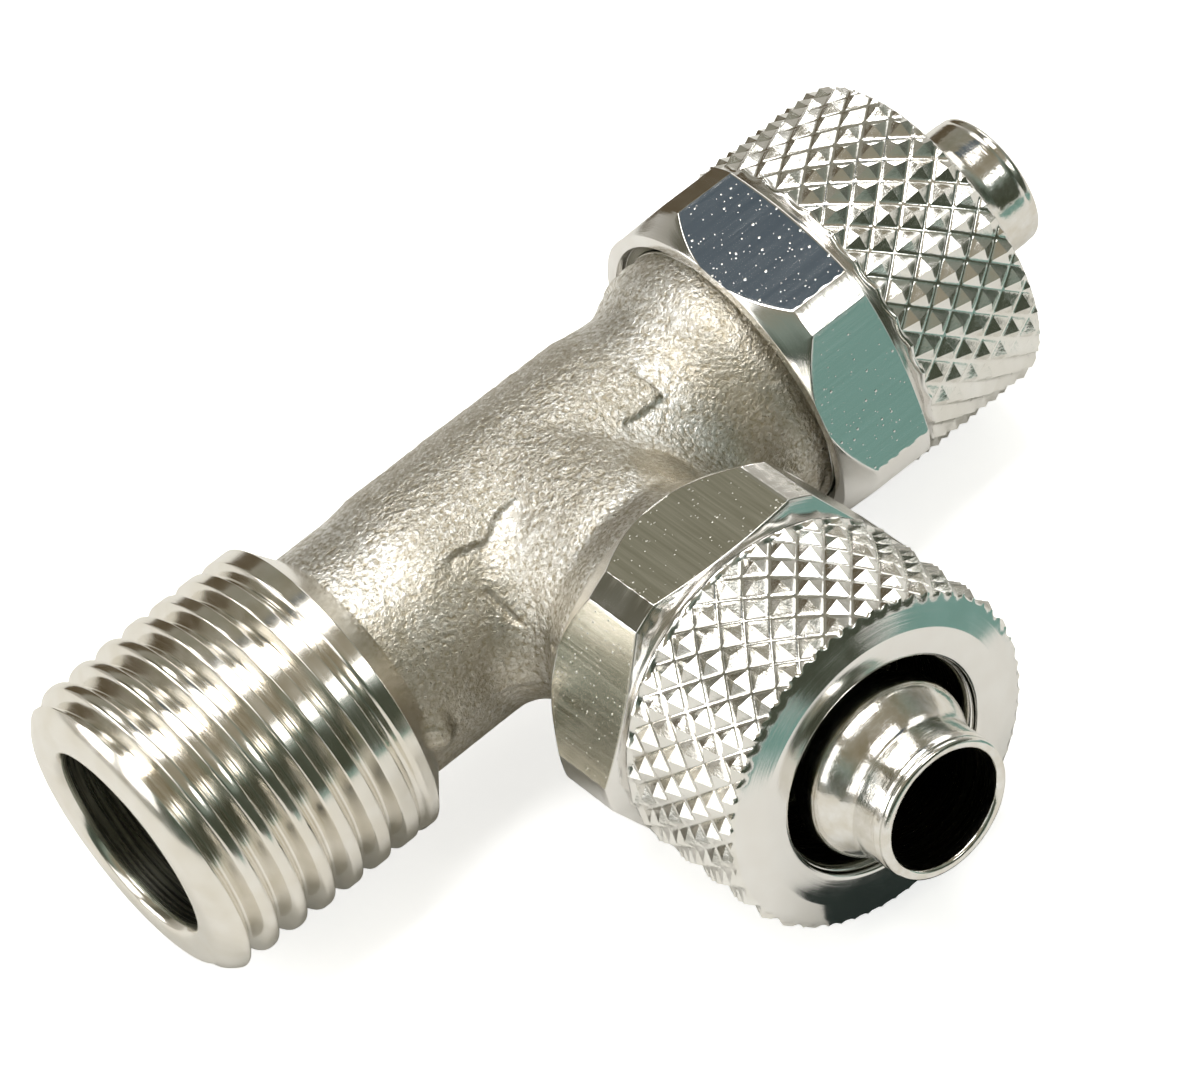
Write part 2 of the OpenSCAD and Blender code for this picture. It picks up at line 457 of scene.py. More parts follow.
def oval(x, y, settings):
    """0 at the centre of an oval and 1 on its rim."""
    centre_x, centre_y, half_x, half_y = settings
    return np.hypot((x - centre_x) / half_x, (y - centre_y) / half_y)


def pad_mask(x, y):
    """1 on the raised T on top of the tee, 0 off it. Its edge is a ragged step in two
    places and fades out everywhere else."""
    flat = np.stack([x, y, np.zeros_like(x)], -1)
    wave = 0.26 * noise(flat, 1.4, 3.1) + 0.13 * noise(flat, 0.5, 8.3)
    run_band = np.minimum(np.minimum(x - PAD_FROM_X, PAD_TO_X - x), y - PAD_FRONT_Y)
    branch_band = np.minimum(PAD_HALF - np.abs(x - BRANCH_X), y - PAD_FOOT_Y)
    inner = np.maximum(run_band, branch_band)
    step = np.minimum(oval(x, y, PAD_FRONT_STEP), oval(x, y, PAD_END_STEP))
    crisp = smooth_step(1.15, 0.85, step)
    soft = PAD_SOFT - (PAD_SOFT - PAD_CRISP) * crisp
    return smooth_step(-soft, soft, inner + wave * (0.3 + 0.7 * crisp))


def pad_on_top(p, normal):
    """The pad's mask, kept to where the skin faces up."""
    return pad_mask(p[..., 0], p[..., 1]) * smooth_step(0.2, 0.6, normal[..., 2])


def groove_wear(angle, side):
    """1 where a boss's thread is cut full depth, 0 where rough skin covers it."""
    return smooth_step(0.25, 0.62, 0.5 - 0.5 * np.cos(angle - side))


def boss_groove(along, angle, side):
    """Depth of the thread grooves that show on a boss behind its nut."""
    phase = (along - FIRST_MALE) / UNION_PITCH
    away = np.abs((phase + 0.5) % 1 - 0.5) * UNION_PITCH
    deep = GROOVE_DEPTH * smooth_step(0.08, 0.33, away)
    past_flare = smooth_step(BARREL_REACH + 0.45, BARREL_REACH + 0.8, along)
    return deep * past_flare * groove_wear(angle, side)


def worn_facet(p):
    """1 on the rubbed, smooth patch on top of the branch, 0 off it."""
    x, y, z = p[..., 0], p[..., 1], p[..., 2]
    along = y - RUBBED_Y
    facet = np.hypot((x - RUBBED_X - 0.25 * along) / 1.25, along / 2.0)
    return smooth_step(1.12, 0.88, facet + 0.1 * noise(p, 1.1, 6.1)) * (z > 0)


def skin_marks(p, normal):
    """For the forging's material: how worn the skin is, how far on the pad, and how much
    painted shade.
    The painted shade lies low on the front by the inlet, and on the side by the run nut."""
    # Painted shade, in patches: darker low on the front by the inlet and on the side by the run
    # nut.
    low_front = smooth_step(19.5, 15.5, p[..., 0]) * smooth_step(0.15, -0.65, normal[..., 1])
    near_nut = smooth_step(26.0, 27.6, p[..., 0]) * smooth_step(0.1, -0.5, normal[..., 1])
    painted_shade = np.maximum(low_front * smooth_step(0.98, 0.75, normal[..., 2]), near_nut)
    painted_shade = np.clip(painted_shade + 0.25 * noise(p, 1.6, 2.9) - 0.1, 0, 1)
    return np.stack([worn_facet(p), pad_on_top(p, normal), painted_shade], -1)


def grain(p, normal):
    """How far the blasted skin of the forging stands out, in mm."""
    x, y, z = p[..., 0], p[..., 1], p[..., 2]
    pad = pad_on_top(p, normal) * smooth_step(1.5, 3.2, z)
    coarse, medium, fine, lumps = (height * noise(p, size, shift)
                                   for height, size, shift in (COARSE, MEDIUM, FINE, LUMPS))
    off_bosses = smooth_step(BRANCH_X + 6.3, BRANCH_X + 4.8, x) * smooth_step(-6.6, -5.2, y)
    level = 0.45 + 0.55 * off_bosses
    rough = (coarse + np.minimum(medium, 0) + fine) * (0.5 + 1.3 * pad)
    worn = worn_facet(p)
    from_scratch = np.hypot(x - 15.72 + 0.16 * (z - 2.6), z - np.clip(z, 2.15, 3.05))
    scratch = SCRATCH_DEPTH * smooth_step(0.2, 0.05, from_scratch) * (y < 0)
    seam = np.abs(z - FLASH_Z + 0.12 * noise(p, 2.0, 4.4))
    sideways = smooth_step(0.35, 0.8, np.hypot(normal[..., 0], normal[..., 1]))
    flash = FLASH_HEIGHT * smooth_step(0.38, 0.1, seam) * sideways * off_bosses
    nub = NUB_HEIGHT * smooth_step(0.8, 0.15, oval(x, z, (11.35, -0.4, 1.0, 1.6))) * (y < 0)
    cut = (boss_groove(x - BRANCH_X, np.arctan2(z, y), RUN_SIDE)
           + boss_groove(-y, np.arctan2(z, x - BRANCH_X), BRANCH_SIDE))
    skin = rough * level * (1 - 0.8 * worn) + lumps - RUBBED_DEPTH * worn
    return PAD_RISE * pad + skin - scratch + flash + nub - cut


def forged_tee(materials):
    """The blasted forging: a net over its field, pushed out along its normals by the
    grain. The bores are left smooth."""
    low = (FORGING_START - 0.2, -BOSS_REACH - 0.3, -NET_REACH)
    high = (BRANCH_X + BOSS_REACH + 0.3, NET_REACH, NET_REACH)
    points, quads = surface_net(forging_field, low, high, NET_STEP)
    normal = slope(forging_field, points)
    normal /= np.linalg.norm(normal, axis=-1, keepdims=True)
    x, y, z = points.T
    from_branch = np.where(y < 0, np.hypot(x - BRANCH_X, z), 0)
    outside = smooth_step(4.7, 4.95, np.maximum(np.hypot(y, z), from_branch))
    marks = skin_marks(points, normal)
    points = points + normal * (grain(points, normal) * outside)[:, None]
    return make_mesh("forged_tee", points, quads.tolist(), materials, None, marks, "skin")


# ---------------------------------------------------------------- outlets
OUTLET_COLUMNS = 192
THREAD_STEP = 0.03
BULGE_FROM, BULGE_TO = 18.3, 22.9
# The spigot's rolled lip, as radius and station.
LIP = (
    (SPIGOT_R, 23.0), (2.952, 23.12), (2.945, 23.22), (2.92, 23.28), (2.905, 23.34),
    (2.91, 23.4), (2.925, 23.46), (2.92, 23.55), (2.885, 23.64), (2.81, 23.69),
    (2.72, SPIGOT_TIP), (2.60, 23.68), (2.53, 23.62), (PASSAGE_R, 23.5),
)


def boss_drop(station):
    """Depth of the ring thread under the nut."""
    phase = (station - FIRST_MALE) / UNION_PITCH
    away = np.abs((phase + 0.5) % 1 - 0.5) * UNION_PITCH
    return np.clip((away - 0.06) / math.tan(math.radians(30)), 0, MALE_CREST_R - MALE_ROOT_R)


def bulge_radius(station):
    """Radius of the spigot along the bulge that the tube is pushed over."""
    climb = smooth_step(BULGE_FROM, 19.7, station)
    fall = smooth_step(20.35, 22.1, station)
    return STEM_R + (BULGE_R - STEM_R) * climb - (BULGE_R - SPIGOT_R) * fall


def outlet(name, materials, place):
    """One threaded boss and its spigot, from inside the barrel out to the tip."""
    thread_start = FIRST_MALE + 1.5 * UNION_PITCH
    thread_end = FIRST_MALE + (MALE_RIDGES - 0.35) * UNION_PITCH
    inside = thread_start - 0.4
    face = thread_end + 0.2
    rows = [(2.75, inside, 0), (5.2, inside, 0), (MALE_ROOT_R, thread_start - 0.2, 0)]
    rows += [(MALE_CREST_R - boss_drop(z), z, 0)
             for z in np.arange(thread_start, thread_end, THREAD_STEP)]
    rows += [(5.4, thread_end + 0.1, 0), (5.2, face, 0), (4.0, face, 0), (3.1, face, 0),
             (2.93, face + 0.12, 0), (STEM_R, face + 0.3, 0)]
    rows += [(STEM_R, z, 1) for z in np.linspace(face + 0.6, 18.2, 10)]
    rows += [(bulge_radius(z), z, 1) for z in np.linspace(BULGE_FROM, BULGE_TO, 70)]
    rows += [(radius, z, 1) for radius, z in LIP]
    rows += [(PASSAGE_R, z, 2) for z in np.linspace(23.2, inside, 30)]
    return turned_piece(name, rows, OUTLET_COLUMNS, materials, place)


# ---------------------------------------------------------------- union nuts
NUT_COLUMNS = 528
SECTOR = NUT_COLUMNS // 6
# Angle from the middle of a flat to the turned land at its corner.
LAND_ANGLE = math.acos(NUT_AF / 2 / CORNER_R)
LAND_LEAN = math.radians(0.18)
HEX_ROUNDING = 0.035
BACK_R = 6.94
BACK_SLOPE = 0.634
CHAMFER_START = 3.9
HEX_END = 4.24
GROOVE_R = 6.45
CHATTER = 0.005
CHATTER_LEN = 0.62
SIDE_PART = 3

KNURL_START = 4.36
KNURL_STEP = 16
KNURL_LEN = 1.55
KNURL_DEPTH = 0.31
KNURL_CREASE = math.radians(30)
GROOVE_ROUND = 0.16
BEVEL_SLOPE = 3.0
CONE_SLOPE = 1 / 3
FACE_R = 5.75

# Material slots of a nut.
TURNED, FLAT, KNURLED, BORED = range(4)
# The face and the mouth at a nut's front, as radius and station.
NUT_MOUTH = (
    (FACE_R, NUT_LEN), (5.70, 10.915), (5.2, NUT_LEN), (4.72, NUT_LEN), (4.62, 10.885),
    (4.53, 10.82), (4.50, 10.72), (4.50, 10.60), (4.46, 10.57), (4.42, 10.55),
    (4.42, 10.40), (4.38, 10.37), (NUT_BORE_R, 10.34), (NUT_BORE_R, 10.0),
    (NUT_BORE_R, 8.4), (NUT_BORE_R, 6.4),
)
MOUTH_END = 10.5


def hex_angles():
    """Column angles, with a column on each side of the edge of every corner's land."""
    edge = round(LAND_ANGLE / (2 * math.pi / NUT_COLUMNS))
    known = [-SECTOR // 2, -edge - 1, -edge, -edge + 1, edge - 1, edge, edge + 1, SECTOR // 2]
    at = [-math.pi / 6, -LAND_ANGLE - LAND_LEAN, -LAND_ANGLE, -LAND_ANGLE + LAND_LEAN,
          LAND_ANGLE - LAND_LEAN, LAND_ANGLE, LAND_ANGLE + LAND_LEAN, math.pi / 6]
    local = np.interp(np.arange(SECTOR) - SECTOR // 2, known, at)
    return np.concatenate([local + (s + 0.5) * math.pi / 3 for s in range(6)])


def hex_rows():
    """Rows of the hexagon from its back, each with its cells' splits and slots."""
    angle = hex_angles()
    from_middle = np.abs(angle % (math.pi / 3) - math.pi / 6)
    reach = np.minimum(NUT_AF / 2 / np.cos(from_middle), CORNER_R)
    chamfer_len = HEX_END - CHAMFER_START
    front = CHAMFER_START + (CORNER_R - reach) / (CORNER_R - GROOVE_R) * chamfer_len
    corners = (
        (6.3, 0.42), (6.42, 0.0), (BACK_R, 0.0), (reach, (reach - BACK_R) / BACK_SLOPE),
        (reach, front), (GROOVE_R, HEX_END), (GROOVE_R, KNURL_START),
    )
    keys = np.array([np.stack([radius + 0 * reach, station + 0 * reach], -1)
                     for radius, station in corners])
    profile, owner = rounded(keys, HEX_ROUNDING, (1, 2, 4, 26, 3, 1, 1))
    on_land = from_middle > LAND_ANGLE
    on_flat = from_middle + 0.004 < LAND_ANGLE
    for row, part in zip(profile, owner):
        if part == len(corners) - 1:
            continue
        radius, z = row.T
        waves = np.sin(2 * math.pi * z / CHATTER_LEN + 1.5 * np.sin(2.3 * z + 5 * angle))
        chatter = CHATTER * (1 + waves) * (on_land & (part == SIDE_PART))
        yield (lathe_points(radius - chatter, z, angle), np.zeros(NUT_COLUMNS, int),
               np.where(on_flat & (part == SIDE_PART), FLAT, TURNED))


def knurl_waves(station, column):
    """Distance from the grooves of each hand: 0 in one, 1 halfway to the next."""
    turn, along = column / KNURL_STEP, station / KNURL_LEN
    return [1 - np.abs(2 * ((along + hand * turn) % 1) - 1) for hand in (1, -1)]


def knurl_height(station, column):
    """0 in the grooves of the diamond knurl, which are round, and 1 on its points."""
    low = np.minimum(*knurl_waves(station, column))
    full = math.hypot(1, GROOVE_ROUND) - GROOVE_ROUND
    return (np.hypot(low, GROOVE_ROUND) - GROOVE_ROUND) / full


def knurl_rows():
    """Rows of the knurl and the cone in front of it. The rows and columns fall on its
    creases, and each cell is split along the one that crosses it."""
    angle = around(NUT_COLUMNS)
    column = np.arange(NUT_COLUMNS)
    step = KNURL_LEN / KNURL_STEP
    first, end = math.ceil(KNURL_START / step), math.ceil(NUT_LEN / step)
    for z in np.arange(first, end) * step:
        pressed = smooth_step(KNURL_START + 0.16, KNURL_START + 0.4, z)
        cut = KNURL_R - KNURL_DEPTH * (1 - knurl_height(z, column)) * pressed
        bevel = GROOVE_R + (z - KNURL_START) * BEVEL_SLOPE
        cone = FACE_R + (NUT_LEN - z) / CONE_SLOPE
        radius = np.minimum(np.minimum(cut, bevel), cone)
        smooth = (cone < cut) | (z < KNURL_START + 0.2)
        right, left = knurl_waves(z + step / 2, column + 0.5)
        yield (lathe_points(radius, z, angle), np.where(right < left, 2, 1),
               np.where(smooth, TURNED, KNURLED))


def bore_rows():
    """Rows of the front face, the mouth, the seat and the ring thread inside."""
    angle = around(NUT_COLUMNS)
    first_ridge = FIRST_FEMALE - NUT_BACK
    bore_end = first_ridge + (FEMALE_RIDGES - 0.5) * UNION_PITCH + 0.7
    seat_end = bore_end + FEMALE_ROOT_R - NUT_BORE_R
    inner = [*NUT_MOUTH, (NUT_BORE_R, seat_end + 0.05), (4.37, seat_end),
             (5.2, seat_end - 0.83), (FEMALE_ROOT_R, bore_end), (FEMALE_ROOT_R, bore_end - 0.3)]
    for i in range(FEMALE_RIDGES - 1, -1, -1):
        z = first_ridge + i * UNION_PITCH
        inner += [(FEMALE_ROOT_R, z + 0.28), (FEMALE_CREST_R, z + 0.03),
                  (FEMALE_CREST_R, z - 0.03), (FEMALE_ROOT_R, z - 0.28)]
    for radius, z in inner:
        yield (lathe_points(radius, z, angle), np.zeros(NUT_COLUMNS, int),
               np.full(NUT_COLUMNS, TURNED if z > MOUTH_END else BORED))


def union_nut(name, materials, place, turn):
    """One nut, from its back round the outside and back through its bore, turned
    about its axis by `turn`."""
    rows, flips, slots = zip(*hex_rows(), *knurl_rows(), *bore_rows())
    points = np.array(rows)
    marks = lathe_marks(points)
    points = points @ np.array(Matrix.Rotation(turn, 3, "Z")).T
    points[..., 2] += NUT_BACK
    faces, cell = ring_faces(len(rows), NUT_COLUMNS, np.array(flips))
    nut = make_mesh(name, place(points).reshape(-1, 3), faces, materials,
                    np.array(slots).reshape(-1)[cell], marks)
    sharpen(nut.data, KNURLED, KNURL_CREASE)
    return nut


# ---------------------------------------------------------------- materials
SPECK_SHARE = 0.3
# The dark end of the forging's colour, used for its dull grains and pits and for painted shade.
DULL_AND_SHADED_SKIN = (0.42, 0.37, 0.275)
CLEAN_SKIN = (0.99, 0.98, 0.95)


class Metal:
    """A metal surface, with short ways to add noise to it. `colour` is its plain colour,
    for programs that can't follow the nodes. `colours` sets what is rendered."""

    def __init__(self, name, colour, roughness):
        self.material = bpy.data.materials.new(name)
        self.material.use_nodes = True
        tree = self.material.node_tree
        self.nodes, self.links = tree.nodes, tree.links
        self.shader = self.nodes["Principled BSDF"]
        self.shader.inputs["Metallic"].default_value = 1.0
        self.shader.inputs["Base Color"].default_value = (*colour, 1)
        self.shader.inputs["Roughness"].default_value = roughness
        self.normal = None

    def add(self, kind, **inputs):
        node = self.nodes.new(kind)
        for key, value in inputs.items():
            if hasattr(node, key):
                setattr(node, key, value)
            else:
                self.feed(node.inputs[key], value)
        return node

    def feed(self, socket, value):
        if isinstance(value, bpy.types.NodeSocket):
            self.links.new(value, socket)
        else:
            socket.default_value = value

    def place(self, stretch=(1, 1, 1)):
        """Object coordinates in mm, scaled on each axis."""
        where = self.add("ShaderNodeTexCoord").outputs["Object"]
        return self.scaled(where, tuple(k / MM for k in stretch))

    def lathe(self, around, along):
        """Coordinates that run round the axis and along the profile, in mm."""
        where = self.add("ShaderNodeAttribute", attribute_name="lathe").outputs["Vector"]
        return self.scaled(where, (around, around, along))

    def scaled(self, where, factors):
        node = self.add("ShaderNodeVectorMath", operation="MULTIPLY")
        self.feed(node.inputs[0], where)
        self.feed(node.inputs[1], factors)
        return node.outputs[0]

    def noise(self, where, detail, scale=1.0, roughness=0.5):
        node = self.add("ShaderNodeTexNoise", Vector=where, Scale=scale, Detail=detail)
        self.feed(node.inputs["Roughness"], roughness)
        return node.outputs["Fac"]

    def ramp(self, value, low, high, to_low=0.0, to_high=1.0):
        """From to_low at low to to_high at high, and level outside them."""
        node = self.add("ShaderNodeMapRange", clamp=True)
        for key, number in (("Value", value), ("From Min", low), ("From Max", high),
                            ("To Min", to_low), ("To Max", to_high)):
            self.feed(node.inputs[key], number)
        return node.outputs["Result"]

    def less_on(self, mask, kept):
        """1 off the mask, falling to `kept` on it."""
        return self.ramp(mask, 0.0, 1.0, 1.0, kept)

    def math(self, operation, first, second):
        node = self.add("ShaderNodeMath", operation=operation)
        self.feed(node.inputs[0], first)
        self.feed(node.inputs[1], second)
        return node.outputs[0]

    def bump(self, height, microns, strength=1.0):
        """Adds a layer of bump on top of those before it."""
        node = self.add("ShaderNodeBump")
        self.feed(node.inputs["Height"], height)
        self.feed(node.inputs["Distance"], microns * 1e-6)
        self.feed(node.inputs["Strength"], strength)
        if self.normal is not None:
            self.links.new(self.normal, node.inputs["Normal"])
        self.normal = node.outputs["Normal"]
        self.links.new(self.normal, self.shader.inputs["Normal"])

    def colours(self, value, first, second):
        """Base colour from first to second as value goes from 0 to 1."""
        node = self.add("ShaderNodeMix", data_type="RGBA")
        self.feed(node.inputs["Factor"], value)
        self.feed(node.inputs["A"], (*first, 1))
        self.feed(node.inputs["B"], (*second, 1))
        self.links.new(node.outputs["Result"], self.shader.inputs["Base Color"])

    def rough(self, value):
        self.links.new(value, self.shader.inputs["Roughness"])


def specks(metal, where, density, microns):
    """Small pits of mixed sizes, in some of the cells, that catch the light."""
    cells = metal.add("ShaderNodeTexVoronoi", Vector=where, Scale=density)
    shade = metal.add("ShaderNodeSeparateColor", Color=cells.outputs["Color"])
    width = metal.ramp(shade.outputs[1], 0.0, 1.0, 0.12, 0.24)
    near = metal.ramp(cells.outputs["Distance"], 0.05, width, 1.0, 0.0)
    chosen = metal.ramp(shade.outputs[0], 1.0 - SPECK_SHARE, 1.02 - SPECK_SHARE)
    spot = metal.math("MULTIPLY", near, chosen)
    metal.bump(spot, microns)
    return spot


def blasted_metal():
    """Plating over the blasted forging, with grains, grit and dust. It is smoother on the
    rubbed patch, coarser on the pad, and darkened by painted shade low on the front and by the
    run nut."""
    metal = Metal("blasted_nickel", (0.84, 0.82, 0.76), 0.4)
    where = metal.place()
    skin = metal.add("ShaderNodeAttribute", attribute_name="skin").outputs["Vector"]
    worn, pad, painted_shade = metal.add("ShaderNodeSeparateXYZ", Vector=skin).outputs[:3]
    grit = metal.noise(where, 3.0, 4.6, 0.72)
    dust = metal.noise(where, 2.0, 9.5, 0.6)
    cloud = metal.noise(where, 2.0, 0.5)
    grains = metal.add("ShaderNodeTexVoronoi", Vector=where, Scale=4.4)
    round_grain = metal.ramp(grains.outputs["Distance"], 0.05, 0.62, 1.0, 0.0)
    kept = metal.less_on(worn, 0.1)
    sharp_grit = metal.ramp(grit, 0.3, 0.7)
    metal.bump(round_grain, 12, kept)
    metal.bump(sharp_grit, 30, kept)
    metal.bump(dust, 12, kept)
    metal.bump(sharp_grit, 16, pad)
    metal.rough(metal.math("MULTIPLY", metal.ramp(grit, 0.35, 0.7, 0.42, 0.25),
                           metal.less_on(worn, 0.85)))
    clean_and_unshaded = metal.ramp(grit, 0.36, 0.5)
    flecks = metal.math("MULTIPLY", metal.ramp(dust, 0.46, 0.60, 1.0, 0.0), pad)
    # The last factor is painted shade, darker low on the front and by the run nut.
    for shade in (metal.ramp(round_grain, 0.0, 0.4, 0.5, 1.0),
                  metal.ramp(cloud, 0.3, 0.7, 0.85, 1.0), metal.less_on(flecks, 0.35),
                  metal.less_on(worn, 0.35), metal.less_on(painted_shade, 0.3)):
        clean_and_unshaded = metal.math("MULTIPLY", clean_and_unshaded, shade)
    metal.colours(clean_and_unshaded, DULL_AND_SHADED_SKIN, CLEAN_SKIN)
    return metal.material


def turned_metal(name, dark, light, roughness, microns):
    """Plating over turned metal, with fine rings round its axis."""
    metal = Metal(name, light, roughness)
    rings = metal.noise(metal.lathe(0.8, 14.0), 2.0, 1.0, 0.6)
    fine = metal.noise(metal.lathe(1.6, 42.0), 1.0)
    cloud = metal.noise(metal.place(), 2.0, 0.9)
    metal.bump(rings, microns)
    metal.bump(fine, microns * 0.35)
    patchy = metal.ramp(cloud, 0.3, 0.7, roughness * 0.75, roughness * 1.35)
    metal.rough(metal.math("ADD", patchy, metal.ramp(rings, 0.4, 0.8, 0.0, 0.06)))
    metal.colours(metal.ramp(cloud, 0.25, 0.75), dark, light)
    return metal.material


def drawn_metal(name, dark, light, roughness, microns, speckle):
    """Plating over a drawn hexagon bar, with lines along it and small pits."""
    metal = Metal(name, light, roughness)
    lines = metal.noise(metal.lathe(60.0, 0.3), 2.0, 1.0, 0.6)
    metal.bump(lines, microns)
    spots = metal.math("MAXIMUM", specks(metal, metal.place(), 3.6, speckle),
                       specks(metal, metal.place((1.3, 1.1, 1.2)), 5.2, 0.7 * speckle))
    metal.rough(metal.math("ADD", metal.ramp(lines, 0.3, 0.7, 0.8 * roughness, 1.2 * roughness),
                           metal.math("MULTIPLY", spots, 0.25)))
    metal.colours(metal.ramp(lines, 0.35, 0.7), dark, light)
    return metal.material


def knurled_metal():
    """Plating over the knurl, a little worn."""
    metal = Metal("knurled_nickel", (0.86, 0.845, 0.80), 0.18)
    wear = metal.noise(metal.place(), 3.0, 5.0, 0.6)
    metal.bump(wear, 9)
    metal.rough(metal.ramp(wear, 0.3, 0.7, 0.13, 0.22))
    cloud = metal.noise(metal.place(), 2.0, 0.7)
    metal.colours(metal.ramp(cloud, 0.3, 0.7), (0.82, 0.80, 0.75), (0.90, 0.89, 0.86))
    return metal.material


def shaded_bore_metal(name, dark, light):
    """Bare drilled metal, its colours darkened as painted shade deep in a bore."""
    metal = Metal(name, light, 0.35)
    rings = metal.noise(metal.lathe(0.7, 9.0), 3.0, 1.0, 0.6)
    metal.bump(rings, 3)
    metal.rough(metal.ramp(rings, 0.3, 0.7, 0.22, 0.34))
    metal.colours(metal.ramp(rings, 0.4, 0.7), dark, light)
    return metal.material


def polished_metal():
    """Bright plating with a slight orange peel, over the spigots."""
    metal = Metal("polished_nickel", (0.85, 0.83, 0.79), 0.12)
    peel = metal.noise(metal.place(), 3.0, 1.6, 0.6)
    metal.bump(peel, 16)
    metal.bump(metal.noise(metal.lathe(0.8, 20.0), 2.0), 2.0)
    metal.rough(metal.ramp(peel, 0.3, 0.7, 0.09, 0.2))
    metal.colours(metal.ramp(peel, 0.3, 0.7), (0.74, 0.70, 0.62), (0.88, 0.87, 0.85))
    return metal.material


# ---------------------------------------------------------------- pieces
blasted = blasted_metal()
turned = turned_metal("turned_nickel", (0.83, 0.81, 0.78), (0.88, 0.87, 0.85), 0.12, 2.8)
threaded = turned_metal("threaded_nickel", (0.80, 0.76, 0.68), (0.89, 0.865, 0.815), 0.14, 1.8)
drawn = drawn_metal("drawn_nickel", (0.82, 0.805, 0.78), (0.86, 0.85, 0.83), 0.11, 0.2, 12)
brushed = drawn_metal("brushed_nickel", (0.70, 0.68, 0.60), (0.83, 0.81, 0.73), 0.18, 1.0, 10)
knurled = knurled_metal()
# Bore colours: a brass tint, darkened as painted shade inside the bores, the deep bores
# darkest.
bored = shaded_bore_metal("bore_brass_painted_shade", (0.13, 0.125, 0.09), (0.24, 0.23, 0.17))
reamed = shaded_bore_metal("reamed_brass_painted_shade", (0.24, 0.25, 0.20), (0.55, 0.54, 0.45))
polished = polished_metal()

body_pieces = (
    inlet_thread([threaded, reamed]),
    forged_tee([blasted]),
    outlet("run_outlet", [turned, polished, bored], on_run),
    outlet("branch_outlet", [turned, polished, bored], on_branch),
)
for piece in body_pieces:
    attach(piece, "body")
    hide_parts("tee_body")

RUN_NUT_TURN = math.radians(14.2)
nuts = (
    ("run_union_nut", "run_nut", "run_union", on_run, RUN_NUT_TURN, drawn),
    ("branch_union_nut", "branch_nut", "branch_union", on_branch, 0.0, brushed),
)
for name, node, body, place, turn, flats in nuts:
    nut = union_nut(name, [turned, flats, knurled, bored], place, turn)
    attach(nut, body)
    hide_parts(node)

# ---------------------------------------------------------------- floor, light, camera
UP = (0, 0, 1)
FLOOR_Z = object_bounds()[0].z - 0.00005
FLOOR_SIZE = (6, 6)
MAT_Z = FLOOR_Z + 0.0003
MIDDLE = Vector((0.0197, -0.0057, 0.0))
CARD_AWAY = 0.4
LIGHT_AWAY = 0.5
# A light this high keeps a lamp's own heading, straight down.
NEARLY_UP = 85

FLOOR_WHITE = (0.90, 0.90, 0.90)
FLOOR_GREY = (0.76, 0.75, 0.73)
TEAL = (0.185, 0.33, 0.29)
DARK = (0.060, 0.069, 0.048)
DARK_OLIVE = (0.12, 0.115, 0.085)
CONTACT_SHADOW_BLACK = (0.02, 0.028, 0.025)
# Colour of the painted contact shadow under the near nut.
SLATE = (0.068, 0.094, 0.118)
BROWN = (0.11, 0.087, 0.055)


def stage_card(name, centre, facing, size, colour, glow=1.0, seen_by=("glossy",)):
    """A flat card. It glows by `glow` times its colour, and below 1
    it reflects light as well. Only the kinds of ray in `seen_by` meet it."""
    mesh = bpy.data.meshes.new(name)
    w, h = size[0] / 2, size[1] / 2
    mesh.from_pydata([(-w, -h, 0), (w, -h, 0), (w, h, 0), (-w, h, 0)], [], [(0, 1, 2, 3)])
    card = bpy.data.objects.new(name, mesh)
    bpy.context.scene.collection.objects.link(card)
    card.location = centre
    card.rotation_mode = "QUATERNION"
    card.rotation_quaternion = Vector(facing).to_track_quat("Z", "Y")
    material = bpy.data.materials.new(name)
    material.use_nodes = True
    shader = material.node_tree.nodes["Principled BSDF"]
    shader.inputs["Base Color"].default_value = (*colour, 1) if glow < 1 else (0, 0, 0, 1)
    shader.inputs["Roughness"].default_value = 0.9
    shader.inputs["Specular IOR Level"].default_value = 0.0
    shader.inputs["Emission Color"].default_value = (*colour, 1)
    shader.inputs["Emission Strength"].default_value = glow
    mesh.materials.append(material)
    card.visible_camera = "camera" in seen_by
    card.visible_diffuse = "diffuse" in seen_by
    card.visible_glossy = "glossy" in seen_by
    card.visible_shadow = False
    card.visible_transmission = False


def heading(azimuth, elevation):
    """Unit vector. Azimuth runs from +Y towards +X, and elevation up from the floor, in
    degrees."""
    a, e = math.radians(azimuth), math.radians(elevation)
    return Vector((math.cos(e) * math.sin(a), math.cos(e) * math.cos(a), math.sin(e)))


def softbox(name, azimuth, elevation, width, height, radiance):
    """A soft light seen from the part in that direction, with its size in degrees."""
    lamp = bpy.data.lights.new(name, "AREA")
    lamp.shape = "RECTANGLE"
    lamp.size = 2 * LIGHT_AWAY * math.tan(math.radians(width / 2))
    lamp.size_y = 2 * LIGHT_AWAY * math.tan(math.radians(height / 2))
    lamp.energy = radiance * math.pi * lamp.size * lamp.size_y
    light = bpy.data.objects.new(name, lamp)
    bpy.context.scene.collection.objects.link(light)
    toward = heading(azimuth, elevation)
    light.location = MIDDLE + toward * LIGHT_AWAY
    light.rotation_mode = "QUATERNION"
    if elevation < NEARLY_UP:
        light.rotation_quaternion = (-toward).to_track_quat("-Z", "Y")
    light.visible_camera = False


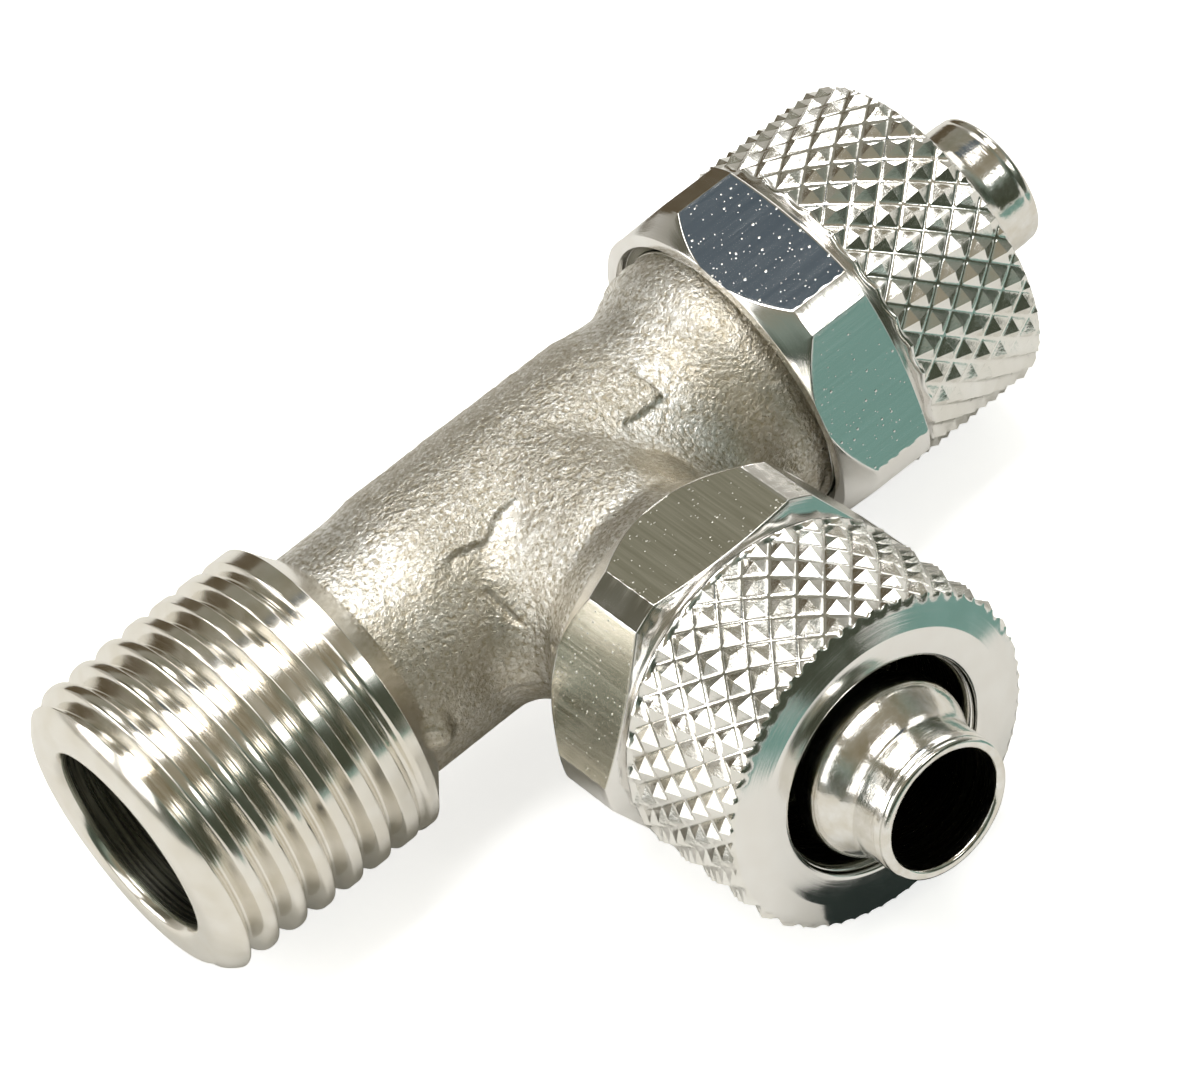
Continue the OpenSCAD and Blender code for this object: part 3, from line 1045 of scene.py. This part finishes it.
# The camera sees one floor and the metal another, with coloured mats to reflect.
stage_card("floor", (0.02, 0, FLOOR_Z), UP, FLOOR_SIZE, FLOOR_WHITE, 0.75, ("camera",))
stage_card("floor_lit", (0.02, 0, FLOOR_Z - 0.0001), UP, FLOOR_SIZE, FLOOR_GREY, 0.0,
           ("diffuse", "glossy"))
for name, centre, facing, size, colour in (
        ("teal_mat", (0.053, -0.042, MAT_Z), UP, (0.032, 0.040), TEAL),
        ("left_mat", (0.016, -0.060, MAT_Z), UP, (0.018, 0.028), TEAL),
        ("dark_mat", (0.0355, -0.072, MAT_Z), UP, (0.021, 0.034), DARK),
        ("dark_screen", (0.035, -0.083, 0.019), (0, 1, 0), (0.15, 0.053), DARK),
        # A black card on the floor under the near nut, seen only in reflections: a painted
        # contact shadow.
        ("painted_contact_shadow", (0.0217, -0.0200, FLOOR_Z + 0.0001), UP, (0.0095, 0.0085), CONTACT_SHADOW_BLACK)):
    stage_card(name, centre, facing, size, colour)

# Azimuth and elevation, width and height, and radiance.
for name, settings in (
        ("overhead_light", (90, 88, 44, 20, 7.2)), ("front_light", (155, 41, 17, 10, 5.0)),
        ("left_light", (-53, 21, 24, 20, 4.0)), ("side_light", (-86, 34, 26, 44, 1.5)),
        ("back_light", (-8, 57, 16, 10, 4.5)), ("right_light", (68, 36, 26, 26, 1.5))):
    softbox(name, *settings)

# Cards in the air, each meant for the tone of one set of faces.
for name, azimuth, elevation, size, colour in (
        ("slate_card", 54, 62, (0.11, 0.10), SLATE),
        ("olive_card", -33, 37, (0.21, 0.14), DARK_OLIVE),
        ("brown_card", 14, 10, (0.31, 0.20), BROWN)):
    toward = heading(azimuth, elevation)
    stage_card(name, MIDDLE + toward * CARD_AWAY, -toward, size, colour)

# The room, as it shows in the metal: pale low down behind the part, dark on the camera's
# side. Each stop is a height, as the sine of the elevation, and a colour.
BEHIND = (
    (-0.12, (0.62, 0.60, 0.55)), (0.07, (0.52, 0.50, 0.45)), (0.28, (0.40, 0.385, 0.34)),
    (0.47, (0.27, 0.26, 0.215)), (0.66, (0.235, 0.23, 0.18)), (1.0, (0.27, 0.245, 0.18)),
)
IN_FRONT = (
    (-0.12, (0.30, 0.30, 0.27)), (0.02, (0.09, 0.12, 0.095)), (0.29, (0.055, 0.066, 0.05)),
    (0.42, (0.12, 0.15, 0.12)), (0.55, (0.22, 0.27, 0.23)), (0.78, (0.28, 0.25, 0.18)),
    (1.0, (0.27, 0.245, 0.18)),
)
ROOM_SPLIT = (-0.4, 0.3)
BACKGROUND_WHITE = (0.95, 0.95, 0.95)

world = bpy.data.worlds.new("studio")
bpy.context.scene.world = world
world.use_nodes = True
room, wire = world.node_tree.nodes, world.node_tree.links
background = room["Background"]
direction = room.new("ShaderNodeTexCoord")
split = room.new("ShaderNodeSeparateXYZ")
wire.new(direction.outputs["Generated"], split.inputs[0])


def room_side(stops):
    """Colour by height, from stops of height and colour."""
    low, high = stops[0][0], stops[-1][0]
    climb = room.new("ShaderNodeMapRange")
    climb.inputs["From Min"].default_value = low
    climb.inputs["From Max"].default_value = high
    wire.new(split.outputs["Z"], climb.inputs["Value"])
    ramp = room.new("ShaderNodeValToRGB")
    band = ramp.color_ramp
    for _ in stops[2:]:
        band.elements.new(0.5)
    for element, (height, colour) in zip(band.elements, stops):
        element.position = (height - low) / (high - low)
        element.color = (*colour, 1)
    wire.new(climb.outputs["Result"], ramp.inputs["Fac"])
    return ramp.outputs["Color"]


side = room.new("ShaderNodeMapRange")
side.inputs["From Min"].default_value, side.inputs["From Max"].default_value = ROOM_SPLIT
wire.new(split.outputs["Y"], side.inputs["Value"])
blend = room.new("ShaderNodeMix")
blend.data_type = "RGBA"
colour_in = [socket for socket in blend.inputs if socket.type == "RGBA"]
colour_out = [socket for socket in blend.outputs if socket.type == "RGBA"][0]
wire.new(side.outputs["Result"], blend.inputs[0])
wire.new(room_side(IN_FRONT), colour_in[0])
wire.new(room_side(BEHIND), colour_in[1])
wire.new(colour_out, background.inputs["Color"])
pale = room.new("ShaderNodeBackground")
pale.inputs["Color"].default_value = (*BACKGROUND_WHITE, 1)
path = room.new("ShaderNodeLightPath")
choose = room.new("ShaderNodeMixShader")
wire.new(path.outputs["Is Camera Ray"], choose.inputs[0])
wire.new(background.outputs[0], choose.inputs[1])
wire.new(pale.outputs[0], choose.inputs[2])
wire.new(choose.outputs[0], room["World Output"].inputs["Surface"])

CAMERA_AT = Vector((-48.80, -146.65, 153.06)) * MM
CAMERA_FORWARD = Vector((0.31630, 0.65105, -0.68999))
CAMERA_ROLL = math.radians(-19.243)
LENS = 175.69
SENSOR = 36
camera_data = bpy.data.cameras.new("camera")
camera = bpy.data.objects.new("camera", camera_data)
bpy.context.scene.collection.objects.link(camera)
camera_data.sensor_width = SENSOR
camera_data.lens = LENS
camera_data.clip_start = 0.01
camera_data.clip_end = 20
camera.location = CAMERA_AT
look = CAMERA_FORWARD.to_track_quat("-Z", "Y").to_matrix()
camera.rotation_mode = "QUATERNION"
camera.rotation_quaternion = (look @ Matrix.Rotation(CAMERA_ROLL, 3, "Z")).to_quaternion()
bpy.context.scene.camera = camera
bpy.context.scene.view_settings.view_transform = "Standard"
